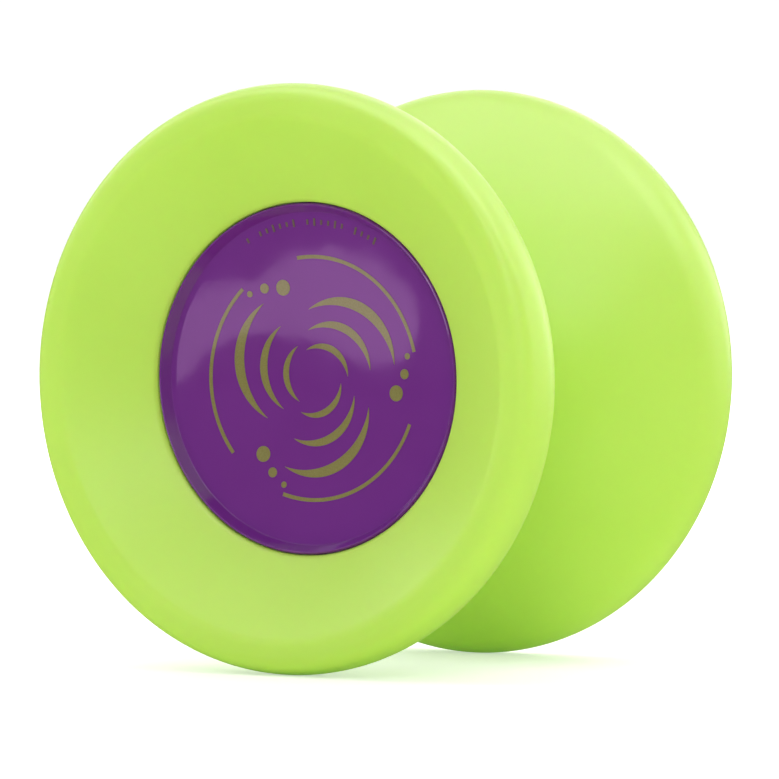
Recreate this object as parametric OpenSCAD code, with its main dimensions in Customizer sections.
// Yo-yo: wide butterfly body in two lime halves, dished purple side caps,
// M4 through axle, size C ball bearing and silicone response pads.
// Spin axis along Y, middle of the string gap at the origin, +Z up,
// the yo-yo standing on its two rims. "Left" is the half on the -Y side.

/* [Body] */
// Outer diameter of the two halves
outer_d = 70; // [68:0.5:76]
// Distance from the middle plane to the centre of the rim rounding
rim_y = 21.66; // [20:0.02:24]
// Radius of the rounding that runs round the outside of the rim
rim_r = 6.5; // [5.5:0.1:6.8]
// Radius of the long convex curve of each flank
flank_r = 60.7; // [56:0.1:66]
// Radius of the corner between the rim rounding and the side crest
corner_r = 2; // [1.5:0.02:2.6]
// Radius of the outer side of the crest
crest_out_r = 3; // [3:0.1:6]
// Radius of the inner side of the crest
crest_in_r = 2.5; // [2:0.1:5]
// Width of the flat ring the yo-yo lies on when it is put down on its side
land_w = 0.8; // [0.4:0.1:1.6]

/* [Gap] */
// Width of the string gap between the two hub faces
gap_w = 4.4; // [4:0.1:5]
// Diameter of the recess round the bearing in each hub face
recess_d = 13.6; // [13.2:0.1:14]

/* [Side caps] */
// Diameter of the pocket that takes a side cap
pocket_d = 42; // [41:0.1:43]
// Height of the pocket's lip above the middle plane
lip_y = 18.86; // [18.4:0.02:19.2]
// Height of the middle of the cap's dished face above the middle plane
dish_y = 16.15; // [15.9:0.05:16.5]
// Radius of curvature of the cap's dished face
dish_r = 157; // [140:1:240]
// Thickness of the cap's face
cap_t = 1.4; // [1:0.1:1.6]
// Height of the printed ink on the cap
ink_t = 0.04; // [0.02:0.01:0.08]

/* [Axle] */
// Length of the axle, an M4 set screw with a hex socket in each end
axle_len = 22; // [20:0.5:23]
// Diameter over the axle's thread
axle_d = 3.92; // [3.84:0.02:3.94]
// Width across the flats of the axle nuts
nut_af = 7; // [6.8:0.1:7.2]
// Height of the axle nuts
nut_h = 3.2; // [2.8:0.1:3.3]

/* [Bearing] */
// Bore of the bearing
bearing_id = 6.35; // [6.35:0.01:6.36]
// Outside diameter of the bearing
bearing_od = 12.7; // [12.6:0.05:12.75]
// Width of the bearing
bearing_w = 4.7625; // [4.7:0.0125:4.7625]
// Diameter of a bearing ball
ball_d = 1.5875; // [1.58:0.0025:1.59]
// Number of balls
ball_n = 8; // [8:1:8]

/* [Hidden] */
$fn = 96;

lime = [0.70, 0.88, 0.33];
purple = [0.42, 0.22, 0.49];
ink = [0.53, 0.49, 0.28];
brass = [0.80, 0.66, 0.34];
dark_steel = [0.32, 0.33, 0.35];
spacer_steel = [0.74, 0.75, 0.77];
silicone = [0.93, 0.93, 0.90];
inner_race_steel = [0.70, 0.71, 0.73];
outer_race_steel = [0.72, 0.73, 0.75];
shield_steel = [0.62, 0.63, 0.65];
snap_ring_steel = [0.45, 0.46, 0.48];
bronze = [0.78, 0.62, 0.36];

// ---- Shared helpers ----
// Profiles have x = radius and y = height above the middle plane.

function polar(centre, radius, angle) =
    [centre[0] + radius * cos(angle), centre[1] + radius * sin(angle)];

// corner radius of a hexagon from its width across the flats
function hex_r(across_flats) = across_flats / 2 / cos(30);

// turns a half, drawn with its outer side up, to the left or the right side
module side(right) rotate([0, 0, right ? 180 : 0]) rotate([90, 0, 0]) children();

// ---- Outer curve of the shell ----
// directions of the surface where one arc of the profile passes to the next
flank_to_rim = -43;
rim_to_corner = 20;
corner_to_crest = 75;

rim_centre = [outer_d / 2 - rim_r, rim_y];
flank_centre = polar(rim_centre, rim_r - flank_r, flank_to_rim);
corner_centre = polar(rim_centre, rim_r - corner_r, rim_to_corner);
crest_out_centre = polar(corner_centre, corner_r - crest_out_r, corner_to_crest);
crest_y = crest_out_centre[1] + crest_out_r;
crest_in_centre = [crest_out_centre[0] - land_w, crest_y - crest_in_r];

// the flank meets the hub face here
hub_y = gap_w / 2;
hub_r = flank_centre[0] + sqrt(flank_r * flank_r - pow(hub_y - flank_centre[1], 2));
hub_to_flank = -acos((hub_r - flank_centre[0]) / flank_r);

pocket_r = pocket_d / 2;
lip_r = 0.4;
lip_centre = [pocket_r + lip_r, lip_y];
// direction of the sloping ring: the line that touches the crest and the lip
lip_to_crest = crest_in_centre - lip_centre;
slope_dir = atan2(lip_to_crest[1], lip_to_crest[0])
    + acos((lip_r - crest_in_r) / norm(lip_to_crest));

// ---- Inside of the shell ----
wall_t = 2.8;
ledge_y = 14.2; // the cap's skirt stands on this ledge
ledge_in = 19.2;
ledge_bevel = 1.2;
bevel_toe = 0.3;
wall_foot_r = 12.4;
floor_y = 5.2; // flat floor round the boss
floor_in = 6.8;
floor_out = 10.4;
boss_r = 5.9;
boss_foot_y = 5.8;
nut_y = 6.6;
boss_y = nut_y + nut_h + 0.4;
bore_r = 2.05;
seat_r = 4.02; // spacer seat
seat_y = 4.4;
recess_y = 2.7;

pad_in = 7.45;
pad_out = 9.5;
pad_y = hub_y + 0.1;
pad_t = 1;
pad_gap = 0.05;
pad_bevel = 0.15;

snap_y = 16.4; // bead and groove that hold the cap
snap_groove_r = 0.32;
snap_groove_inset = 0.05;

nut_clearance = 0.1;
nut_pocket_extra_h = 2;

rib_n = 6;
rib_t = 1.2;
rib_bottom_y = 4.9;
rib_bottom_r = 10.5;
rib_sink = 0.4; // overlap with the boss and the wall
rib_toe = 0.2;
rib_drop = 0.6; // inner end, below the boss top
rib_rise = 1.6; // outer end, above the boss top

// height of the wall's inner surface at a radius
function wall_top(radius) = flank_centre[1]
    - sqrt(flank_r * flank_r - pow(radius - flank_centre[0], 2)) + wall_t;

// the round part of the profile between two directions of one arc,
// reaching inwards from the curve by about depth
module arc_slice(centre, radius, from, to, depth) {
    middle = (from + to) / 2;
    far = radius / cos((to - from) / 2) + 1;
    intersection() {
        translate(centre) circle(radius, $fn = 180);
        polygon([
            polar(centre, radius - depth, from),
            polar(centre, far, from),
            polar(centre, far, middle),
            polar(centre, far, to),
            polar(centre, radius - depth, to)]);
    }
}

module shell_profile() {
    difference() {
        union() {
            polygon([
                // outer curve, from the bore out to the lip
                [bore_r, hub_y],
                polar(flank_centre, flank_r, hub_to_flank),
                polar(rim_centre, rim_r, flank_to_rim),
                polar(rim_centre, rim_r, rim_to_corner),
                polar(corner_centre, corner_r, corner_to_crest),
                [crest_out_centre[0], crest_y],
                [crest_in_centre[0], crest_y],
                polar(crest_in_centre, crest_in_r, slope_dir),
                polar(lip_centre, lip_r, slope_dir),
                polar(lip_centre, lip_r, 180),
                // pocket and ledge
                [pocket_r, ledge_y],
                [ledge_in, ledge_y],
                [ledge_in, wall_top(ledge_in) + ledge_bevel],
                [ledge_in - ledge_bevel, wall_top(ledge_in - ledge_bevel) + bevel_toe],
                // wall, floor and boss
                [wall_foot_r, wall_top(wall_foot_r)],
                [floor_out, floor_y],
                [floor_in, floor_y],
                [boss_r, boss_foot_y],
                [boss_r, boss_y],
                [bore_r, boss_y]]);
            arc_slice(flank_centre, flank_r, hub_to_flank, flank_to_rim, depth = 3);
            arc_slice(rim_centre, rim_r, flank_to_rim, rim_to_corner, depth = 3);
            arc_slice(corner_centre, corner_r, rim_to_corner, corner_to_crest, depth = 1);
            arc_slice(crest_out_centre, crest_out_r, corner_to_crest, 90, depth = 0.5);
            arc_slice(crest_in_centre, crest_in_r, 90, slope_dir, depth = 1);
            arc_slice(lip_centre, lip_r, slope_dir, 180, depth = 0.2);
        }
        // seat of the spacer, recess round the bearing, groove of the pad
        square([seat_r, seat_y]);
        square([recess_d / 2, recess_y]);
        translate([pad_in - pad_gap, 0])
            square([pad_out - pad_in + 2 * pad_gap, pad_y + pad_t]);
        // groove that the cap's bead snaps into
        translate([pocket_r - snap_groove_inset, snap_y]) circle(snap_groove_r, $fn = 48);
    }
}

module rib() {
    rotate([90, 0, 0]) linear_extrude(height = rib_t, center = true) polygon([
        [boss_r - rib_sink, rib_bottom_y],
        [rib_bottom_r, rib_bottom_y],
        [ledge_in - rib_toe, wall_top(ledge_in)],
        [ledge_in + rib_sink, wall_top(ledge_in)],
        [ledge_in + rib_sink, boss_y + rib_rise],
        [boss_r - rib_sink, boss_y - rib_drop]]);
}

module shell(right) {
    side(right) difference() {
        union() {
            rotate_extrude($fn = 180) shell_profile();
            // the ribs tie the nut's boss to the wall
            for (i = [0 : rib_n - 1]) rotate([0, 0, 360 / rib_n * i + 30]) rib();
        }
        // pocket that keeps the nut from turning
        rotate([0, 0, 30]) translate([0, 0, nut_y])
            cylinder(h = nut_h + nut_pocket_extra_h, r = hex_r(nut_af + nut_clearance), $fn = 6);
    }
}

module left_shell() color(lime) shell(right = false);
module right_shell() color(lime) shell(right = true);

// ---- Side caps ----
cap_r = pocket_r - 0.08;
cap_foot_y = ledge_y + 0.03;
cap_top_y = lip_y + 0.05;
cap_disc_r = cap_r - 0.2;
skirt_t = 1.2;
edge_r = pocket_r - 0.8;
edge_foot_r = edge_r - 0.05;
edge_brink = [cap_r - 0.42, lip_y - 0.02]; // inner brink of the raised edge
bead_r = 0.24;
bead_inset = 0.02;

// section of a bowl that shares its centre with the dished face
module bowl(radius) translate([0, dish_y + dish_r]) circle(radius, $fn = 360);

module cap_profile() {
    difference() {
        union() {
            // dished face
            difference() {
                translate([0, dish_y - cap_t]) square([cap_disc_r, cap_top_y - dish_y + cap_t]);
                bowl(dish_r);
                translate([0, dish_y + 1.4]) square([edge_r - 0.4, 5]);
            }
            // raised edge and the skirt that stands on the ledge
            polygon([
                [cap_r - skirt_t, cap_foot_y],
                [cap_r, cap_foot_y],
                [cap_r, lip_y - 0.5],
                [cap_r - 0.17, lip_y - 0.05],
                [cap_r - 0.3, cap_top_y],
                edge_brink,
                [edge_foot_r, dish_y + 1.35],
                [cap_r - skirt_t, dish_y]]);
            // snap bead
            translate([cap_r - bead_inset, snap_y]) circle(bead_r, $fn = 48);
        }
        // clears the space inside the raised edge
        polygon([
            [edge_foot_r, dish_y + 1.5],
            [edge_r - 0.8, dish_y + 1.5],
            [edge_r - 0.8, 30],
            [edge_brink[0], 30],
            edge_brink]);
    }
}

module cap(right) side(right) rotate_extrude($fn = 180) cap_profile();

module left_cap() color(purple) cap(right = false);
module right_cap() color(purple) cap(right = true);

// ---- Print on the caps ----
// crescents of one arm: distance out, radius, radius of the bite, shift of the bite
crescents = [[4.2, 7.6, 9.2, 2.9], [2.6, 5.5, 6.8, 2.3], [1.1, 3.6, 4.6, 1.8]];
crescent_turn = 212;
// dots of one arm: angle, distance out, radius, facets
dots = [[-38, 11.6, 0.95, 48], [-27, 12.7, 0.6, 32], [-18, 13.4, 0.38, 24]];
arm_n = 3;
ring_out = 14.7;
ring_in = 14.25;
ring_gap_at = 14.5;
ring_gap = [2, 8.6];
tick_n = 20;
tick_pitch = 3; // degrees
tick_at = 18.6;
tick_w = 0.28;
long_tick = 0.9;
short_tick = 0.6;
print_r = 19.6; // the ink stays inside this radius

// what is left of a round when a larger one, moved over by shift, is taken away
module crescent(radius, bite_r, shift) difference() {
    circle(radius, $fn = 120);
    translate([shift, 0]) circle(bite_r, $fn = 120);
}

// a whirl of crescents and dots, a broken ring and a short row of tick marks
module print_art() {
    for (i = [0 : arm_n - 1]) rotate(30 + 360 / arm_n * i) {
        for (row = crescents)
            translate([row[0], 0]) rotate(crescent_turn) crescent(row[1], row[2], row[3]);
        for (dot = dots)
            rotate(dot[0]) translate([dot[1], 0]) circle(dot[2], $fn = dot[3]);
    }
    difference() {
        circle(ring_out, $fn = 144);
        circle(ring_in, $fn = 144);
        for (i = [0 : arm_n - 1]) rotate(360 / arm_n * i - 4)
            translate([ring_gap_at, 0]) square(ring_gap, center = true);
    }
    // every seventh tick is left out and every third is long
    for (i = [0 : tick_n - 1]) if (i % 7 != 4)
        rotate(90 + tick_pitch * (i - (tick_n - 1) / 2)) translate([tick_at, 0])
            square([i % 3 == 0 ? long_tick : short_tick, tick_w], center = true);
}

// the ink follows the dish, so it is the slice of the art between two bowls
module cap_print(right) {
    side(right) intersection() {
        translate([0, 0, dish_y - 0.5]) linear_extrude(height = 4) print_art();
        rotate_extrude($fn = 180) difference() {
            intersection() {
                bowl(dish_r);
                translate([0, dish_y - 1]) square([print_r, 4]);
            }
            bowl(dish_r - ink_t);
        }
    }
}

module left_cap_print() color(ink) cap_print(right = false);
module right_cap_print() color(ink) cap_print(right = true);

// ---- Nuts ----
nut_face_r = 3.5;
nut_turned_r = 4.1;
nut_bevel_h = 0.35;

module nut(right) {
    side(right) translate([0, 0, nut_y]) intersection() {
        rotate([0, 0, 30]) difference() {
            cylinder(h = nut_h, r = hex_r(nut_af), $fn = 6);
            translate([0, 0, -1]) cylinder(h = nut_h + 2, r = bore_r);
        }
        // turned chamfers on the corners
        rotate_extrude() polygon([
            [0, 0],
            [nut_face_r, 0],
            [nut_turned_r, nut_bevel_h],
            [nut_turned_r, nut_h - nut_bevel_h],
            [nut_face_r, nut_h],
            [0, nut_h]]);
    }
}

module left_nut() color(brass) nut(right = false);
module right_nut() color(brass) nut(right = true);

// ---- Axle ----
axle_bevel = 0.4;
socket_af = 2;
socket_depth = 2.2;
socket_overrun = 0.2; // how far the cut runs out past the axle's end

module axle() {
    end = axle_len / 2;
    radius = axle_d / 2;
    color(dark_steel) rotate([90, 0, 0]) difference() {
        rotate_extrude() polygon([
            [0, -end],
            [radius - axle_bevel, -end],
            [radius, -end + axle_bevel],
            [radius, end - axle_bevel],
            [radius - axle_bevel, end],
            [0, end]]);
        for (s = [-1, 1]) translate([0, 0, s * (end + (socket_overrun - socket_depth) / 2)])
            cylinder(h = socket_depth + socket_overrun, r = hex_r(socket_af),
                     center = true, $fn = 6);
    }
}

// ---- Spacers ----
race_y = bearing_w / 2; // side face of the bearing
nose_r = bearing_id / 2 - 0.02; // the nose goes into the bearing's bore
nose_y = 0.12;
nose_bevel = 0.2;
collar_r = 4;
collar_y = race_y + 0.004;
collar_bevel = 0.15;

module spacer(right) {
    side(right) rotate_extrude() polygon([
        [bore_r, nose_y],
        [nose_r - nose_bevel, nose_y],
        [nose_r, nose_y + nose_bevel],
        [nose_r, collar_y],
        [collar_r, collar_y],
        [collar_r, seat_y - collar_bevel],
        [collar_r - collar_bevel, seat_y],
        [bore_r, seat_y]]);
}

module left_spacer() color(spacer_steel) spacer(right = false);
module right_spacer() color(spacer_steel) spacer(right = true);

// ---- Response pads ----
module pad(right) {
    side(right) rotate_extrude() polygon([
        [pad_in, pad_y + pad_bevel],
        [pad_in + pad_bevel, pad_y],
        [pad_out - pad_bevel, pad_y],
        [pad_out, pad_y + pad_bevel],
        [pad_out, pad_y + pad_t],
        [pad_in, pad_y + pad_t]]);
}

module left_response_pad() color(silicone) pad(right = false);
module right_response_pad() color(silicone) pad(right = true);

// ---- Bearing ----
pitch_r = (bearing_id + bearing_od) / 4;
ball_groove_r = 0.84;
ball_play = 0.012;
inner_land_r = 4.3; // outside of the inner race
outer_land_r = 5.2; // inside of the outer race
inner_bevel = 0.1;
outer_bevel = 0.2;

shield_in = 4.42;
shield_out = 5.28;
shield_half_t = 0.07;
shield_y = 1.86;
snap_ring_r = 5.36;
snap_ring_wire_r = 0.11;
snap_ring_y = 2.08;
snap_ring_arc = 342; // degrees
snap_ring_start = 100;

cage_in = 4.4;
cage_out = 5.1;
cage_right = -1.2; // drawn height; the part below the balls turns to the right
cage_left = 0.5;
cage_bevel = 0.08;
cage_clearance = 0.02;

module bearing_inner_race() {
    bore = bearing_id / 2;
    color(inner_race_steel) rotate([90, 0, 0]) rotate_extrude() difference() {
        polygon([
            [bore, -race_y + inner_bevel],
            [bore + inner_bevel, -race_y],
            [inner_land_r - inner_bevel, -race_y],
            [inner_land_r, -race_y + inner_bevel],
            [inner_land_r, race_y - inner_bevel],
            [inner_land_r - inner_bevel, race_y],
            [bore + inner_bevel, race_y],
            [bore, race_y - inner_bevel]]);
        translate([pitch_r - ball_d / 2 - ball_play + ball_groove_r, 0]) circle(ball_groove_r);
    }
}

module bearing_outer_race() {
    rim = bearing_od / 2;
    color(outer_race_steel) rotate([90, 0, 0]) rotate_extrude() difference() {
        polygon([
            [outer_land_r, -race_y],
            [rim - outer_bevel, -race_y],
            [rim, -race_y + outer_bevel],
            [rim, race_y - outer_bevel],
            [rim - outer_bevel, race_y],
            [outer_land_r, race_y]]);
        translate([pitch_r + ball_d / 2 + ball_play - ball_groove_r, 0]) circle(ball_groove_r);
        // step for each shield and groove for its snap ring
        for (s = [-1, 1]) {
            translate([5.1, s * 2.19]) square([0.42, 0.8], center = true);
            translate([5.3, s * snap_ring_y]) square([0.56, 0.26], center = true);
        }
    }
}

// s is -1 for the left side and 1 for the right
module shield(s) {
    color(shield_steel) rotate([90, 0, 0]) translate([0, 0, -s * shield_y])
        rotate_extrude() polygon([
            [shield_in, -shield_half_t],
            [shield_out, -shield_half_t],
            [shield_out, shield_half_t],
            [shield_in, shield_half_t]]);
}

module snap_ring(s) {
    color(snap_ring_steel) rotate([90, 0, 0]) translate([0, 0, -s * snap_ring_y])
        rotate([0, 0, snap_ring_start]) rotate_extrude(angle = snap_ring_arc)
            translate([snap_ring_r, 0]) circle(snap_ring_wire_r, $fn = 32);
}

module bearing_left_shield() shield(-1);
module bearing_right_shield() shield(1);
module bearing_left_snap_ring() snap_ring(-1);
module bearing_right_snap_ring() snap_ring(1);

// a ring with ball pockets that are open to the left
module bearing_cage() {
    color(bronze) rotate([90, 0, 0]) difference() {
        rotate_extrude() polygon([
            [cage_in, cage_right],
            [cage_out, cage_right],
            [cage_out, cage_left - cage_bevel],
            [cage_out - cage_bevel, cage_left],
            [cage_in + cage_bevel, cage_left],
            [cage_in, cage_left - cage_bevel]]);
        for (i = [0 : ball_n - 1]) rotate([0, 0, 360 / ball_n * i])
            translate([pitch_r, 0, 0]) sphere(ball_d / 2 + cage_clearance, $fn = 64);
    }
}

// ball 1 lies on +X, the others follow towards +Z
module bearing_ball(number) {
    angle = 360 / ball_n * (number - 1);
    color("silver") translate([pitch_r * cos(angle), 0, pitch_r * sin(angle)])
        sphere(ball_d / 2, $fn = 64);
}

left_shell();
right_shell();
left_cap();
right_cap();
left_cap_print();
right_cap_print();
left_nut();
right_nut();
axle();
left_spacer();
right_spacer();
left_response_pad();
right_response_pad();
bearing_inner_race();
bearing_outer_race();
bearing_left_shield();
bearing_right_shield();
bearing_left_snap_ring();
bearing_right_snap_ring();
bearing_cage();
bearing_ball(1);  // bearing_ball_1
bearing_ball(2);  // bearing_ball_2
bearing_ball(3);  // bearing_ball_3
bearing_ball(4);  // bearing_ball_4
bearing_ball(5);  // bearing_ball_5
bearing_ball(6);  // bearing_ball_6
bearing_ball(7);  // bearing_ball_7
bearing_ball(8);  // bearing_ball_8
